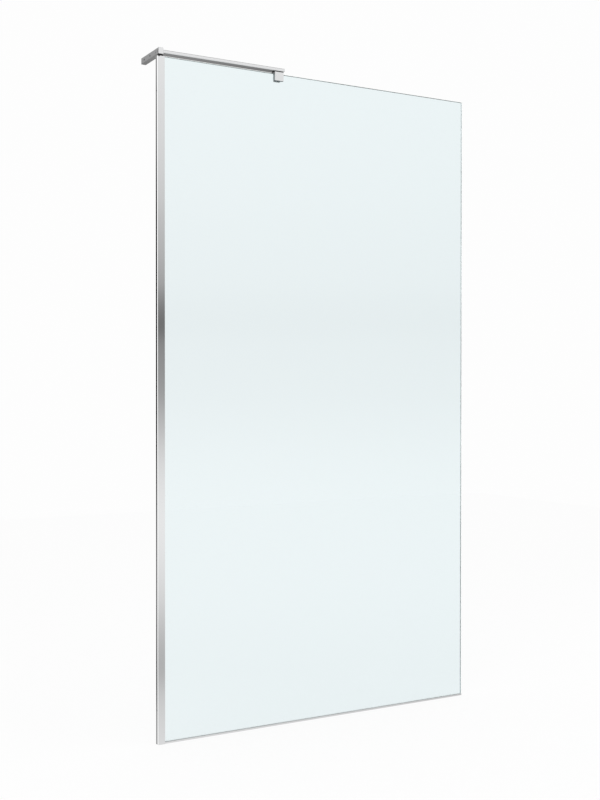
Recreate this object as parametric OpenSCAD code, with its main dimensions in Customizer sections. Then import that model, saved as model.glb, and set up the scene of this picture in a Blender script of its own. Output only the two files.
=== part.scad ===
// Fixed shower screen with a sliding wall profile and an L stabiliser.
// X runs along the glass away from the wall, Y runs back from the front face, Z is up.
// The origin is where the middle of the glass meets the wall, at floor level.

/* [Screen] */
// Wall to the free edge of the glass, as installed
screen_w = 1105; // [800:5:1400]
// Floor to the top of the wall channel
screen_h = 2000; // [1700:10:2200]
// How far the panel can be pushed in, towards the wall
travel_in = 2; // [1:0.5:2.5]
// How far the panel can be pulled out, away from the wall
travel_out = 7; // [3:0.5:8]

/* [Glass] */
// Thickness of the glass
glass_t = 8; // [6:1:10]
// Radius of the two corners at the free edge
glass_corner_r = 4; // [1:0.5:10]
// How far the glass stands above the top of the channel
glass_rise = 0.7; // [0.2:0.1:1.2]

/* [Wall channel] */
// Width of the channel's face, out from the wall
channel_w = 22; // [22:0.5:30]
// Thickness of the channel's two side walls
channel_wall = 1.4; // [1.2:0.1:2]
// Thickness of the web that lies on the wall
channel_web = 1.6; // [1.2:0.1:2.4]
// Radius of the front corner beside the wall
channel_r = 3; // [1:0.25:3.25]
// Radius of the rear corner beside the wall
channel_rear_r = 1; // [0.5:0.25:3.25]
// Radius of the two lips at the open side
lip_r = 0.5; // [0.2:0.1:0.6]
// Diameter of the screw holes in the web
wall_hole_d = 5.2; // [4:0.1:6]
// Number of screw holes in the web
wall_holes = 4; // [3:1:6]
// Distance from each end of the channel to the first screw hole
wall_hole_inset = 100; // [60:10:200]

/* [Sliding profile] */
// Running gap between the channel and the sliding profile, on each side
slide_gap = 0.1; // [0.05:0.01:0.1]
// Thickness of the sliding profile's two flanges
profile_wall = 1.1; // [1:0.1:1.4]
// Thickness of the sliding profile's web
profile_web = 1.3; // [1:0.1:2]
// Thickness of the gasket on each side of the glass
gasket_t = 1.4; // [1.1:0.1:2]
// Thickness of the gasket lip that covers the end of a flange
gasket_lip = 0.8; // [0.5:0.1:1.2]
// Gap between the glass edge and the web, filled by the edge blocks
edge_gap = 2.7; // [2:0.1:4]
// Length of one edge block
edge_block_l = 60; // [30:5:120]
// Number of edge blocks
edge_block_count = 3; // [2:1:5]
// Distance from each end of the channel to the middle of the nearest edge block
edge_block_inset = 250; // [150:10:400]

/* [Lock screws] */
// Diameter of a lock screw
lock_d = 3; // [2.5:0.1:3]
// Diameter of a lock screw's head
lock_head_d = 5.6; // [5:0.2:6.4]
// Height of a lock screw's head
lock_head_h = 2; // [1.4:0.1:2.6]
// Number of lock screws
lock_count = 3; // [2:1:5]
// Distance from each end of the channel to the nearest lock screw
lock_inset = 150; // [130:10:145]
// Wall of a screw cap
lock_cap_wall = 1.2; // [0.8:0.1:2]

/* [Channel plugs] */
// Width of the tongue of the top plug, beside the web
tongue_t = 2.2; // [1.6:0.1:3]
// Depth of the tongue inside the channel
tongue_l = 15; // [8:1:30]
// Distance of the top plug's pad from the wall, and half its distance from the channel's front face
pad_inset = 0.4; // [0.2:0.1:1]
// Width of the notch for the top plug's tab in the channel's front wall
notch_w = 4.8; // [3:0.2:8]
// Depth of that notch, down from the channel's top
notch_h = 2.2; // [1:0.1:4]
// Width of the top plug's pad, out from the wall
pad_w = 17.2; // [14:0.2:20]
// Width of the bottom plug, out from the web
foot_plug_w = 6.4; // [4:0.2:6.4]
// Height of the bottom plug
foot_plug_h = 7.5; // [4:0.5:8]

/* [Bottom rail] */
// Height of the rail's front wall
rail_h = 5.5; // [5:0.5:8]
// Height of the rail's rear wall, lower so that water drains over it
rail_rear_h = 4.6; // [4:0.1:5]
// Thickness of the rail's side walls
rail_wall = 1.3; // [1:0.1:1.5]
// Thickness of the rail's floor
rail_floor = 1.3; // [1:0.1:2]
// Gap between the rail and the channel that it slides in, on each side
rail_clear = 0.3; // [0.2:0.05:0.4]
// Height of the front seal's bead above the rail
bead_h = 1; // [0.8:0.1:2.4]
// Height of the blocks that carry the glass
setting_h = 1.6; // [1.2:0.1:2.4]
// Length of one setting block
setting_l = 80; // [40:5:150]
// Thickness of the end cap's plate
end_cap_t = 1; // [0.6:0.1:2]
// Length of the end cap's tongue in the rail
end_cap_tongue = 10; // [5:1:20]

/* [Stabiliser leg] */
// Width of the leg, out from the wall
leg_w = 15; // [14:0.5:20]
// Height of the leg
leg_h = 18; // [15:0.5:24]
// Length of the leg along the wall
leg_l = 134; // [120:1:200]
// Wall of the leg's tube
leg_wall = 1.8; // [1.4:0.1:2.2]
// Edge radius of the leg
leg_r = 0.8; // [0.4:0.1:1.2]
// Gap between the top of the channel and the leg
leg_lift = 4; // [3.5:0.1:8]
// Thickness of the leg's end plates
leg_cap_t = 1.5; // [1:0.1:3]
// Depth of the end plates' plugs in the tube
leg_cap_plug = 3; // [2:0.5:5]
// Diameter of the leg's screw holes at the wall
leg_hole_d = 5.2; // [4:0.1:6]
// Diameter of the screwdriver holes in the leg's outer wall
leg_access_d = 9; // [8:0.5:11]
// Distance between the leg's two screw holes
leg_hole_pitch = 45; // [30:1:50]
// Distance from the leg's far end to the nearest screw hole
leg_hole_inset = 23; // [18:1:30]
// How far the rim of a leg plug overlaps its hole
plug_rim = 1; // [0.6:0.1:1.5]
// Height of a leg plug's rim
plug_rim_h = 1; // [0.6:0.1:1.6]

/* [Stabiliser arm] */
// Depth of the flat bar, across the glass
arm_d = 31; // [27:0.5:36]
// Thickness of the flat bar
arm_t = 8.7; // [8:0.1:10]
// Length of the flat bar
arm_l = 401; // [200:1:700]
// Edge radius of the flat bar
arm_r = 1.4; // [0.3:0.1:1.8]
// Height of the bar's underside above the leg's underside
arm_rise = 3.3; // [2:0.1:5]
// Shank diameter of the corner bolts
corner_bolt_d = 4.8; // [4:0.1:5]
// Diameter of the corner bolts' countersunk heads
corner_head_d = 9.2; // [8:0.1:9.6]
// Height of the corner bolts' heads
corner_head_h = 2.3; // [2:0.1:3]
// Length of the corner bolts
corner_bolt_l = 28; // [24:1:40]
// Distance between the corner bolts
corner_bolt_pitch = 14; // [10:0.5:14]
// Length of the filler block in the leg
corner_block_l = 24; // [24:0.5:26]

/* [Glass clamp] */
// Width of the clamp along the glass
clamp_w = 30; // [26:0.5:40]
// Height of the clamp
clamp_h = 26.5; // [24:0.5:40]
// Thickness of the clamp's front jaw
jaw_t = 7; // [6.5:0.1:10]
// Thickness of the clamp's rear jaw
rear_jaw_t = 5.6; // [5.4:0.1:8]
// How much narrower the rear jaw is than the clamp, on each side
rear_inset = 5; // [1:0.5:5.5]
// Thickness of the bridge over the glass
bridge_t = 3; // [2:0.1:4]
// Edge radius of the clamp
clamp_r = 0.8; // [0.4:0.1:1.2]
// Distance from the clamp to the end of the bar
clamp_inset = 2; // [0.5:0.5:20]
// Thickness of the liner
liner_t = 1; // [0.8:0.1:1.4]
// Sliding gap between liner and glass
liner_gap = 0.05; // [0.03:0.01:0.1]
// Thickness of the pressure plate
plate_t = 1.3; // [1:0.1:2]
// Shank diameter of the clamp bolts
clamp_bolt_d = 3.9; // [3:0.1:4]
// Diameter of the clamp bolts' countersunk heads
clamp_head_d = 7.5; // [6.5:0.1:8.5]
// Height of the clamp bolts' heads
clamp_head_h = 2; // [1.5:0.1:2.5]
// Depth of the clamp bolts in the jaws
clamp_bolt_depth = 12; // [8:0.5:14]
// Diameter of the grub screws
grub_d = 5; // [4:0.5:5]
// Distance between the grub screws
grub_pitch = 10; // [9:0.5:11]
// Height of the grub screws above the clamp's lower edge
grub_lift = 7.5; // [6:0.5:8]
// Distance of the spacer from the edges of the clamp
spacer_inset = 1; // [0.5:0.1:1.5]

/* [Hidden] */
$fn = 48;

// Overlap of a cutting tool past the face that it cuts
cut = 1;
// Radial gap between a bolt and its hole
bolt_gap = 0.05;
// Gap between plugs and what they fit in
plug_gap = 0.2;
// Gap that is left at the end of the panel's travel
stop_gap = 0.1;
// Overlap of two shapes that make one piece
weld = 0.4;
// Thickness of a cut that clears the face of a countersink
skin = 0.01;
// How far a blind hole runs past the end of its bolt
bore_past = 1;
// Gap between the bottom plug and the rail when the panel is pushed in
rail_gap = 0.5;
// How far the gaskets run past the glass edge, beside the edge blocks
gasket_past = 1;
// Gap between the rail's seals and the foot of the sliding profile
profile_lift = 1.5;
// Distance from the sliding profile's top to the channel's top
profile_drop = 0.5;
// Gap under the rail's seals
seal_lift = 0.4;
// Places of the setting blocks, as shares of the width of the glass
setting_at = [0.25, 0.75];
// Distance of the liner from the edges of the clamp, and of the pressure plate from its lower edge
liner_inset = 1;
plate_inset = 2;
// Gap between the top of the glass and the liner
liner_lift = 0.3;
// How far the grub screws lie below the face of the rear jaw
grub_sunk = 0.5;
// Key sockets: width across flats and depth
lock_key = [2, 1.2];
corner_key = [3, 1.6];
clamp_key = [2.5, 1.4];
grub_key = [2.5, 2];

// Sections across the glass, from the middle of the glass outwards
glass_y = glass_t / 2;
pocket_y = glass_y + gasket_t;
profile_y = pocket_y + profile_wall;
channel_in_y = profile_y + slide_gap;
channel_y = channel_in_y + channel_wall;
rail_y = channel_in_y - rail_clear;
rail_in_y = rail_y - rail_wall;

// The top plug's pad stops short of the front face of the glass
pad_y = 2 * pad_inset - channel_y;
pad_d = -glass_y - plug_gap - pad_y;

// Places along the glass
profile_x = channel_web + tongue_t + plug_gap + travel_in;
pocket_x = profile_x + profile_web;
flange_end_x = channel_w - gasket_lip;
glass_x = pocket_x + edge_gap;
gasket_x = glass_x - gasket_past;
rail_x = channel_web + foot_plug_w + travel_in + rail_gap;
rail_end_x = screen_w - end_cap_t;

// Heights
glass_z = rail_floor + setting_h;
glass_top = screen_h + glass_rise;
bead_top = rail_h + bead_h;
profile_z = bead_top + profile_lift;
profile_top = screen_h - profile_drop;
seal_z = rail_floor + seal_lift;

// Lock screws: the slot in the sliding profile gives the travel
slot_w = lock_d + 2 * stop_gap;
slot_travel = travel_in + travel_out;
slot_mid_x = (pocket_x + flange_end_x) / 2;
lock_x = slot_mid_x + (travel_out - travel_in) / 2;
lock_z = [for (i = [0 : lock_count - 1]) lock_inset + i * (screen_h - 2 * lock_inset) / (lock_count - 1)];
wall_hole_z = [for (i = [0 : wall_holes - 1])
    wall_hole_inset + i * (screen_h - 2 * wall_hole_inset) / (wall_holes - 1)];
edge_block_z = [for (i = [0 : edge_block_count - 1])
    edge_block_inset + i * (screen_h - 2 * edge_block_inset) / (edge_block_count - 1)];
setting_x = [for (s = setting_at) glass_x + s * (screen_w - glass_x)];

// Stabiliser
leg_z = screen_h + leg_lift;
leg_near_y = -arm_d / 2;
leg_far_y = leg_near_y + leg_l;
arm_z = leg_z + arm_rise;
arm_mid_z = arm_z + arm_t / 2;
arm_end_x = leg_w + arm_l;
corner_block_y = leg_near_y + leg_cap_t + leg_cap_plug + plug_gap;
corner_bolt_y = [for (s = [-0.5, 0.5]) corner_block_y + corner_block_l / 2 + s * corner_bolt_pitch];
leg_hole_y = [for (i = [0, 1]) leg_far_y - leg_hole_inset - i * leg_hole_pitch];

// Clamp
clamp_right_x = arm_end_x - clamp_inset;
clamp_x = clamp_right_x - clamp_w;
clamp_mid_x = clamp_x + clamp_w / 2;
liner_in_y = glass_y + liner_gap;
liner_out_y = liner_in_y + liner_t;
liner_in_top = glass_top + liner_lift;
liner_top = liner_in_top + liner_t;
slot_rear_y = liner_out_y + plate_t + stop_gap;
clamp_front_y = -liner_out_y - jaw_t;
clamp_rear_y = slot_rear_y + rear_jaw_t;
clamp_top = liner_top + bridge_t;
clamp_z = clamp_top - clamp_h;
jaw_mid_y = [-liner_out_y - jaw_t / 2, slot_rear_y + rear_jaw_t / 2];
grub_x = [for (s = [-0.5, 0.5]) clamp_mid_x + s * grub_pitch];
grub_z = clamp_z + grub_lift;

// Colours
chrome = [0.86, 0.87, 0.88];
satin = [0.72, 0.73, 0.74];
steel = [0.62, 0.63, 0.65];
black = [0.05, 0.05, 0.06];
grey_seal = [0.64, 0.67, 0.69];
clear_seal = [0.8, 0.84, 0.86];
nylon = [0.92, 0.92, 0.9];
glass_tint = [0.85, 0.93, 0.95, 0.45];

// Rectangle from x = 0 to w, centred on y, with all its corners rounded to r
module round_rect(w, d, r) {
    translate([r, -d / 2]) square([w - 2 * r, d]);
    translate([0, r - d / 2]) square([w, d - 2 * r]);
    for (x = [r, w - r], y = [r - d / 2, d / 2 - r]) translate([x, y]) circle(r);
}

// Carries a drawing in (y, z) along X, from x0 over the length l
module along_x(x0, l) {
    translate([x0, 0, 0]) rotate([90, 0, 90]) linear_extrude(l) children();
}

// Carries a drawing in (x, z) along Y, from y0 over the length l
module along_y(y0, l) {
    translate([0, y0 + l, 0]) rotate([90, 0, 0]) linear_extrude(l) children();
}

// Round bar or bore along X, from x0 to x1, at (y, z)
module bore_x(x0, x1, y, z, d) {
    translate([x0, y, z]) rotate([0, 90, 0]) cylinder(d = d, h = x1 - x0);
}

// Round bar or bore along Y, from y0 to y1, at (x, z)
module bore_y(y0, y1, x, z, d) {
    translate([x, y1, z]) rotate([90, 0, 0]) cylinder(d = d, h = y1 - y0);
}

// Countersunk bolt head or its seat along X: widest at x0, tapering over h
module sunk_head_x(x0, y, z, d_wide, d_shank, h) {
    translate([x0, y, z]) rotate([0, 90, 0]) cylinder(d1 = d_wide, d2 = d_shank, h = h);
}

// Hexagonal key socket, cut down the local Z axis
module key_socket(key) {
    translate([0, 0, -key[1]]) cylinder(d = key[0] * 2 / sqrt(3), h = key[1] + cut, $fn = 6);
}

// Outline of the wall channel: round beside the wall, small lips at the open side
module channel_section() {
    difference() {
        hull() {
            translate([channel_r, channel_r - channel_y]) circle(channel_r);
            translate([channel_rear_r, channel_y - channel_rear_r]) circle(channel_rear_r);
            translate([channel_w / 2, 0]) round_rect(channel_w / 2, 2 * channel_y, lip_r);
        }
        translate([channel_web, -channel_in_y]) square([channel_w, 2 * channel_in_y]);
    }
}

module wall_channel() {
    color(chrome) difference() {
        linear_extrude(screen_h) channel_section();
        for (z = wall_hole_z) bore_x(-cut, channel_web + cut, 0, z, wall_hole_d);
        for (z = lock_z) bore_y(channel_in_y - cut, channel_y + cut, lock_x, z, lock_d + 2 * bolt_gap);
        translate([channel_web, -channel_y - cut, screen_h - notch_h])
            cube([notch_w, channel_y - channel_in_y + 2 * cut, notch_h + cut]);
    }
}

// A pad on top of the channel carries the leg. A tongue beside the web and a tab in the notch hold it in place
module channel_top_plug() {
    color(black) {
        translate([channel_web + plug_gap, pad_y, screen_h - notch_h + plug_gap])
            cube([notch_w - 2 * plug_gap, -channel_in_y - pad_y, notch_h - plug_gap + weld]);
        translate([pad_inset, pad_y, screen_h]) cube([pad_w, pad_d, leg_lift]);
        translate([channel_web, plug_gap - channel_in_y, screen_h - tongue_l])
            cube([tongue_t, 2 * (channel_in_y - plug_gap), tongue_l + weld]);
    }
}

module channel_bottom_plug() {
    color(black) translate([channel_web, plug_gap - channel_in_y, 0])
        cube([foot_plug_w, 2 * (channel_in_y - plug_gap), foot_plug_h]);
}

// The tips stop in the slots of the sliding profile, clear of the gasket
module lock_screws() {
    tip_y = pocket_y + stop_gap;
    color(steel) for (z = lock_z) difference() {
        union() {
            bore_y(tip_y, channel_y + weld, lock_x, z, lock_d);
            bore_y(channel_y, channel_y + lock_head_h, lock_x, z, lock_head_d);
        }
        translate([lock_x, channel_y + lock_head_h, z]) rotate([-90, 0, 0]) key_socket(lock_key);
    }
}

module lock_screw_caps() {
    bore_d = lock_head_d + 2 * bolt_gap;
    bore_h = lock_head_h + 2 * stop_gap;
    color(chrome) for (z = lock_z) difference() {
        bore_y(channel_y, channel_y + bore_h + lock_cap_wall, lock_x, z, bore_d + 2 * lock_cap_wall);
        bore_y(channel_y - cut, channel_y + bore_h, lock_x, z, bore_d);
    }
}

// The leg is a closed tube along the wall
module leg_tube() {
    tube_y = leg_near_y + leg_cap_t;
    tube_l = leg_l - 2 * leg_cap_t;
    color(chrome) difference() {
        along_y(tube_y, tube_l) translate([0, leg_z + leg_h / 2]) round_rect(leg_w, leg_h, leg_r);
        translate([leg_wall, tube_y - cut, leg_z + leg_wall])
            cube([leg_w - 2 * leg_wall, tube_l + 2 * cut, leg_h - 2 * leg_wall]);
        for (y = corner_bolt_y) {
            bore_x(-cut, leg_w + cut, y, arm_mid_z, corner_bolt_d + 2 * bolt_gap);
            corner_seat(y);
        }
        for (y = leg_hole_y) {
            bore_x(-cut, leg_wall + cut, y, leg_z + leg_h / 2, leg_hole_d);
            bore_x(leg_w - leg_wall - cut, leg_w + cut, y, leg_z + leg_h / 2, leg_access_d);
        }
    }
}

// Countersink for one corner bolt, at the wall face of the leg
module corner_seat(y) {
    wide = corner_head_d + 2 * bolt_gap;
    sunk_head_x(0, y, arm_mid_z, wide, corner_bolt_d + 2 * bolt_gap, corner_head_h + 2 * bolt_gap);
    bore_x(-cut, skin, y, arm_mid_z, wide);
}

// End plate with a plug in the tube; side is 1 at the near end and -1 at the far end
module leg_cap(end_y, side) {
    plug_w = leg_w - 2 * (leg_wall + bolt_gap);
    plug_h = leg_h - 2 * (leg_wall + bolt_gap);
    plate_y = side > 0 ? end_y : end_y - leg_cap_t;
    plug_y = side > 0 ? end_y + leg_cap_t - weld : end_y - leg_cap_t - leg_cap_plug;
    color(chrome) {
        along_y(plate_y, leg_cap_t) translate([0, leg_z + leg_h / 2]) round_rect(leg_w, leg_h, leg_r);
        translate([leg_wall + bolt_gap, plug_y, leg_z + leg_wall + bolt_gap])
            cube([plug_w, leg_cap_plug + weld, plug_h]);
    }
}

module leg_cap_near() {
    leg_cap(leg_near_y, 1);
}

module leg_cap_far() {
    leg_cap(leg_far_y, -1);
}

module leg_plugs() {
    color(chrome) for (y = leg_hole_y) {
        bore_x(leg_w - leg_wall, leg_w + weld, y, leg_z + leg_h / 2, leg_access_d - 2 * bolt_gap);
        bore_x(leg_w, leg_w + plug_rim_h, y, leg_z + leg_h / 2, leg_access_d + 2 * plug_rim);
    }
}

module corner_block() {
    block_w = leg_w - 2 * (leg_wall + bolt_gap);
    block_h = leg_h - 2 * (leg_wall + bolt_gap);
    color(satin) difference() {
        translate([leg_wall + bolt_gap, corner_block_y, leg_z + leg_wall + bolt_gap])
            cube([block_w, corner_block_l, block_h]);
        for (y = corner_bolt_y) {
            bore_x(-cut, leg_w + cut, y, arm_mid_z, corner_bolt_d + 2 * bolt_gap);
            corner_seat(y);
        }
    }
}

module corner_bolts() {
    color(steel) for (y = corner_bolt_y) difference() {
        union() {
            sunk_head_x(bolt_gap, y, arm_mid_z, corner_head_d, corner_bolt_d, corner_head_h);
            bore_x(corner_head_h, corner_bolt_l, y, arm_mid_z, corner_bolt_d);
        }
        translate([bolt_gap, y, arm_mid_z]) rotate([0, -90, 0]) key_socket(corner_key);
    }
}

// Flat bar above the glass, tapped at its wall end and drilled above the clamp
module arm_bar() {
    color(chrome) difference() {
        along_x(leg_w, arm_l) translate([-arm_d / 2, arm_mid_z]) round_rect(arm_d, arm_t, arm_r);
        for (y = corner_bolt_y)
            bore_x(leg_w - cut, corner_bolt_l + bore_past, y, arm_mid_z, corner_bolt_d + 2 * bolt_gap);
        for (y = jaw_mid_y) translate([clamp_mid_x, y, 0]) {
            translate([0, 0, arm_z - cut]) cylinder(d = clamp_bolt_d + 2 * bolt_gap, h = arm_t + 2 * cut);
            translate([0, 0, arm_z + arm_t - clamp_head_h - bolt_gap])
                cylinder(d1 = clamp_bolt_d + 2 * bolt_gap, d2 = clamp_head_d + 2 * bolt_gap,
                    h = clamp_head_h + bolt_gap);
            translate([0, 0, arm_z + arm_t - skin]) cylinder(d = clamp_head_d + 2 * bolt_gap, h = cut);
        }
    }
}

module clamp_spacer() {
    color(black) difference() {
        translate([clamp_x + spacer_inset, clamp_front_y + spacer_inset, clamp_top])
            cube([clamp_w - 2 * spacer_inset, clamp_rear_y - clamp_front_y - 2 * spacer_inset,
                arm_z - clamp_top]);
        for (y = jaw_mid_y) translate([clamp_mid_x, y, clamp_top - cut])
            cylinder(d = clamp_bolt_d + 2 * bolt_gap, h = arm_z - clamp_top + 2 * cut);
    }
}

module clamp_bolts() {
    bolt_z = clamp_top - clamp_bolt_depth;
    head_z = arm_z + arm_t - clamp_head_h - bolt_gap;
    color(steel) for (y = jaw_mid_y) translate([clamp_mid_x, y, 0]) difference() {
        union() {
            translate([0, 0, bolt_z]) cylinder(d = clamp_bolt_d, h = head_z - bolt_z);
            translate([0, 0, head_z]) cylinder(d1 = clamp_bolt_d, d2 = clamp_head_d, h = clamp_head_h);
        }
        translate([0, 0, head_z + clamp_head_h]) key_socket(clamp_key);
    }
}

// Forked block: a front jaw, a bridge over the glass and a thinner rear jaw
module clamp_block() {
    clamp_d = clamp_rear_y - clamp_front_y;
    slot_h = liner_top - clamp_z + cut;
    color(chrome) difference() {
        translate([clamp_x, (clamp_front_y + clamp_rear_y) / 2, clamp_z])
            linear_extrude(clamp_h) round_rect(clamp_w, clamp_d, clamp_r);
        translate([clamp_x - cut, -liner_out_y, clamp_z - cut])
            cube([clamp_w + 2 * cut, liner_out_y + slot_rear_y, slot_h]);
        for (x = [clamp_x - cut, clamp_right_x - rear_inset])
            translate([x, glass_y, clamp_z - cut]) cube([rear_inset + cut, clamp_rear_y, slot_h]);
        for (y = jaw_mid_y) translate([clamp_mid_x, y, clamp_top - clamp_bolt_depth - bore_past])
            cylinder(d = clamp_bolt_d + 2 * bolt_gap, h = clamp_bolt_depth + bore_past + cut);
        for (x = grub_x) bore_y(slot_rear_y - cut, clamp_rear_y + cut, x, grub_z, grub_d + 2 * bolt_gap);
    }
}

// Soft U liner that hangs over the glass
module clamp_liner() {
    liner_z = clamp_z + liner_inset;
    color(clear_seal) difference() {
        translate([clamp_x + liner_inset, -liner_out_y, liner_z])
            cube([clamp_w - 2 * liner_inset, 2 * liner_out_y, liner_top - liner_z]);
        translate([clamp_x, -liner_in_y, liner_z - cut])
            cube([clamp_w, 2 * liner_in_y, liner_in_top - liner_z + cut]);
    }
}

module clamp_pressure_plate() {
    color(steel) translate([clamp_x + rear_inset, liner_out_y, clamp_z + plate_inset])
        cube([clamp_w - 2 * rear_inset, plate_t, 2 * (grub_lift - plate_inset)]);
}

module clamp_grub_screws() {
    color(steel) for (x = grub_x) difference() {
        bore_y(liner_out_y + plate_t, clamp_rear_y - grub_sunk, x, grub_z, grub_d);
        translate([x, clamp_rear_y - grub_sunk, grub_z]) rotate([-90, 0, 0]) key_socket(grub_key);
    }
}

// The sheet's left corners stay square inside the channel and the free corners are rounded
module glass_panel() {
    glass_h = glass_top - glass_z;
    color(glass_tint) along_y(-glass_y, glass_t) translate([glass_x, glass_z]) {
        square([screen_w - glass_x - glass_corner_r, glass_h]);
        translate([0, glass_corner_r]) square([screen_w - glass_x, glass_h - 2 * glass_corner_r]);
        for (z = [glass_corner_r, glass_h - glass_corner_r])
            translate([screen_w - glass_x - glass_corner_r, z]) circle(glass_corner_r);
    }
}

// U section with a slot behind each lock screw
module glass_profile() {
    slot_z = slot_w / 2;
    color(satin) difference() {
        translate([profile_x, -profile_y, profile_z])
            cube([flange_end_x - profile_x, 2 * profile_y, profile_top - profile_z]);
        translate([pocket_x, -pocket_y, profile_z - cut])
            cube([channel_w, 2 * pocket_y, profile_top - profile_z + 2 * cut]);
        for (z = lock_z) {
            translate([slot_mid_x - slot_travel / 2, pocket_y - cut, z - slot_z])
                cube([slot_travel, profile_wall + 2 * cut, slot_w]);
            for (s = [-0.5, 0.5])
                bore_y(pocket_y - cut, profile_y + cut, slot_mid_x + s * slot_travel, z, slot_w);
        }
    }
}

// Gasket in the pocket with a sloped lip over the flange end; side is -1 in front and 1 behind
module gasket(side) {
    lip_y = profile_y - 2 * stop_gap;
    color(clear_seal) translate([0, 0, profile_z]) linear_extrude(profile_top - profile_z)
        polygon([for (p = [[gasket_x, glass_y], [gasket_x, pocket_y], [flange_end_x, pocket_y],
            [flange_end_x, lip_y], [channel_w - gasket_lip / 2, lip_y], [channel_w, pocket_y],
            [channel_w, glass_y]]) [p[0], side * p[1]]]);
}

module gasket_front() {
    gasket(-1);
}

module gasket_rear() {
    gasket(1);
}

module edge_blocks() {
    color(nylon) for (z = edge_block_z) translate([pocket_x, -glass_y, z - edge_block_l / 2])
        cube([edge_gap, glass_t, edge_block_l]);
}

// Outline of the rail without its pocket, in (y, z)
module rail_outline() {
    translate([-rail_y, rail_rear_h / 2]) round_rect(2 * rail_y, rail_rear_h, lip_r);
    translate([-rail_y, rail_h / 2]) round_rect(rail_wall, rail_h, lip_r);
}

module bottom_rail() {
    color(chrome) along_x(rail_x, rail_end_x - rail_x) difference() {
        rail_outline();
        translate([-rail_in_y, rail_floor]) square([2 * rail_in_y, rail_h]);
    }
}

// Seal between glass and rail, with a sloped bead above the rail
module rail_gasket_front() {
    bead_y = rail_y - 2 * stop_gap;
    color(grey_seal) along_x(rail_x, rail_end_x - rail_x)
        polygon([[-glass_y, seal_z], [-rail_in_y, seal_z], [-rail_in_y, rail_h], [-bead_y, rail_h],
            [-bead_y, rail_h + bead_h / 2], [2 * stop_gap - rail_in_y, bead_top], [-glass_y, bead_top]]);
}

// Seal that ends level with the rail's rear wall
module rail_gasket_rear() {
    color(grey_seal) along_x(rail_x, rail_end_x - rail_x)
        translate([glass_y, seal_z]) square([rail_in_y - glass_y, rail_rear_h - seal_z]);
}

module setting_blocks() {
    color(nylon) for (x = setting_x) translate([x - setting_l / 2, -glass_y, rail_floor])
        cube([setting_l, glass_t, setting_h]);
}

// Plate over the end of the rail, notched for the glass, with a tongue under the glass
module rail_end_cap() {
    notch_y = glass_y + stop_gap;
    tongue_top = glass_z - stop_gap;
    color(chrome) {
        along_x(rail_end_x, end_cap_t) difference() {
            rail_outline();
            translate([-notch_y, tongue_top]) square([2 * notch_y, rail_h]);
        }
        translate([rail_end_x - end_cap_tongue, stop_gap - glass_y, rail_floor])
            cube([end_cap_tongue + weld, 2 * (glass_y - stop_gap), tongue_top - rail_floor]);
    }
}

wall_channel();
channel_top_plug();
channel_bottom_plug();
lock_screws();
lock_screw_caps();
leg_tube();
leg_cap_near();
leg_cap_far();
leg_plugs();
corner_block();
corner_bolts();
arm_bar();
clamp_spacer();
clamp_bolts();
clamp_block();
clamp_liner();
clamp_pressure_plate();
clamp_grub_screws();
glass_panel();
glass_profile();
gasket_front();
gasket_rear();
edge_blocks();
bottom_rail();
rail_gasket_front();
rail_gasket_rear();
setting_blocks();
rail_end_cap();
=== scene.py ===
# %% [markdown]
# # A fixed shower screen with an L stabiliser
#
# The real object is one sheet of toughened glass. Its wall edge sits in a bright channel, its foot in a
# thin rail, and a flat bar above it holds it upright from the wall. Almost everything on it is a mirror or
# is clear, so the lesson is about three things: clean surfaces with small, true edges, a studio that the
# chrome can reflect, and glass that is clear in front and darker along its edges.
#
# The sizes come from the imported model. Each piece is placed by the box of the node that it dresses.

# %% The frame
import math

import bmesh
import bpy
import numpy as np
from mathutils import Matrix, Vector


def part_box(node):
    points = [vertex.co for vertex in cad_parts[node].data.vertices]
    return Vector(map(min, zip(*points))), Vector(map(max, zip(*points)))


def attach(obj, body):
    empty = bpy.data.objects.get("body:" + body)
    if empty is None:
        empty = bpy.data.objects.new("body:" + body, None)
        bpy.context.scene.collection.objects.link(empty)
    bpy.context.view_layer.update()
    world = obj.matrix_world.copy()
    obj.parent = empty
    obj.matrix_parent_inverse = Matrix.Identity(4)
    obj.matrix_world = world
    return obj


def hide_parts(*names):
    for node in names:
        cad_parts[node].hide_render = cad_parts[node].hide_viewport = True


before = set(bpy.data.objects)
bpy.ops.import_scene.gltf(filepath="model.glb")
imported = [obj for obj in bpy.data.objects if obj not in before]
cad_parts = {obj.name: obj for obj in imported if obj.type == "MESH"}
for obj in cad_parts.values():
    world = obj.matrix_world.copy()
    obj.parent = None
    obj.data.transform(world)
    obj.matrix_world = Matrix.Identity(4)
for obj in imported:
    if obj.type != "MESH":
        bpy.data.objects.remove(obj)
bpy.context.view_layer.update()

MM = 0.001
TOUCH = 0.03 * MM
TURN = 2 * math.pi
X, Y, Z = np.eye(3)
WALL_SIDE = "wall_side"
PANEL = "panel"

# %% [markdown]
# ## Where the camera stands
#
# The photograph was taken from the front left, at about half the height of the glass, with a long lens. The
# camera's place was worked out from the straight edges of the screen. A camera looks down its own -Z with
# +Y up, so its matrix is built from a right, an up and a backward vector.

# %% The camera
CAMERA_AT = Vector((-1.3007, -3.1094, 1.0339))
CAMERA_YAW = math.radians(29.783)
CAMERA_PITCH = math.radians(-0.522)
CAMERA_ROLL = math.radians(0.022)
CAMERA_LENS_MM = 51.83
SENSOR_MM = 36


def aim(at, yaw, pitch, roll):
    """Matrix of a camera at a point. Yaw turns from +Y towards +X, pitch lifts it, and roll tips it."""
    ahead = Vector((math.sin(yaw) * math.cos(pitch), math.cos(yaw) * math.cos(pitch), math.sin(pitch)))
    level = Vector((math.cos(yaw), -math.sin(yaw), 0))
    over = level.cross(ahead)
    right = math.cos(roll) * level + math.sin(roll) * over
    up = right.cross(ahead)
    turn = Matrix((right, up, -ahead)).transposed()
    return Matrix.Translation(at) @ turn.to_4x4()


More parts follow.
